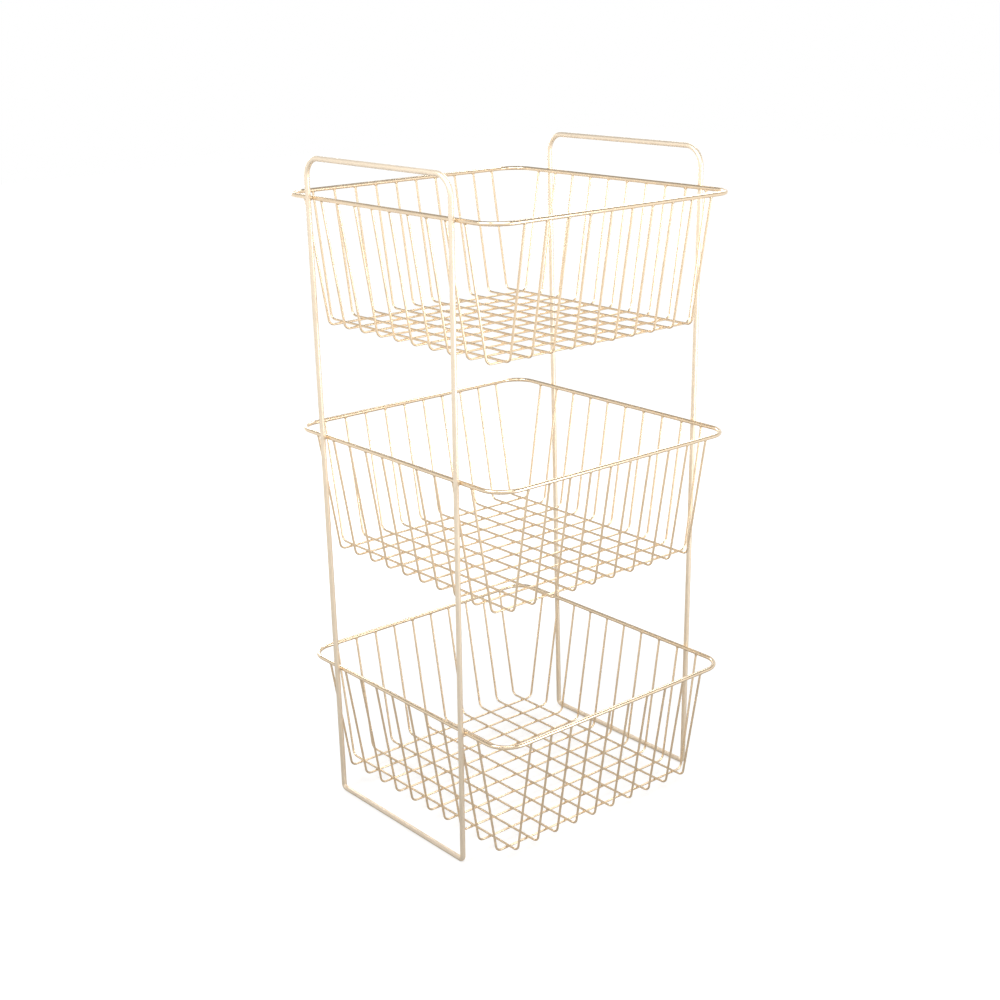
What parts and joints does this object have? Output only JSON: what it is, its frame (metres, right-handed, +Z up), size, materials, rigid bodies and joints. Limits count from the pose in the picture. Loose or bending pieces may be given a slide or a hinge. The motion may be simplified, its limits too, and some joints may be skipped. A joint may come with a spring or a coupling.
{
  "type": "three-tier wire basket tower",
  "caption": "Free-standing tower of equal open wire baskets welded one above the other between side frames of thicker wire, each frame ending in a handle bar.",
  "frame": {"origin": "on the ground, under the middle of the tower", "axes": "+X from the left side frame to the right one, -Y the front, +Z up"},
  "size_m": [0.331, 0.34, 0.7],
  "materials": {
    "frame_wire": "satin pale gold coat on steel wire",
    "rim_wire": "satin pale gold coat on steel wire",
    "thin_wire": "satin pale gold coat on steel wire"
  },
  "bodies": {
    "root": {"left_frame": "frame_wire", "right_frame": "frame_wire", "lower_rim": "rim_wire", "middle_rim": "rim_wire", "upper_rim": "rim_wire", "lower_cross_wires_1": "thin_wire", "lower_cross_wires_2": "thin_wire", "lower_cross_wires_3": "thin_wire", "lower_cross_wires_4": "thin_wire", "lower_cross_wires_5": "thin_wire", "middle_cross_wires_1": "thin_wire", "middle_cross_wires_2": "thin_wire", "middle_cross_wires_3": "thin_wire", "middle_cross_wires_4": "thin_wire", "middle_cross_wires_5": "thin_wire", "upper_cross_wires_1": "thin_wire", "upper_cross_wires_2": "thin_wire", "upper_cross_wires_3": "thin_wire", "upper_cross_wires_4": "thin_wire", "upper_cross_wires_5": "thin_wire", "lower_long_wires_1": "thin_wire", "lower_long_wires_2": "thin_wire", "lower_long_wires_3": "thin_wire", "lower_long_wires_4": "thin_wire", "lower_long_wires_5": "thin_wire", "middle_long_wires_1": "thin_wire", "middle_long_wires_2": "thin_wire", "middle_long_wires_3": "thin_wire", "middle_long_wires_4": "thin_wire", "middle_long_wires_5": "thin_wire", "upper_long_wires_1": "thin_wire", "upper_long_wires_2": "thin_wire", "upper_long_wires_3": "thin_wire", "upper_long_wires_4": "thin_wire", "upper_long_wires_5": "thin_wire"}
  },
  "joints": []
}
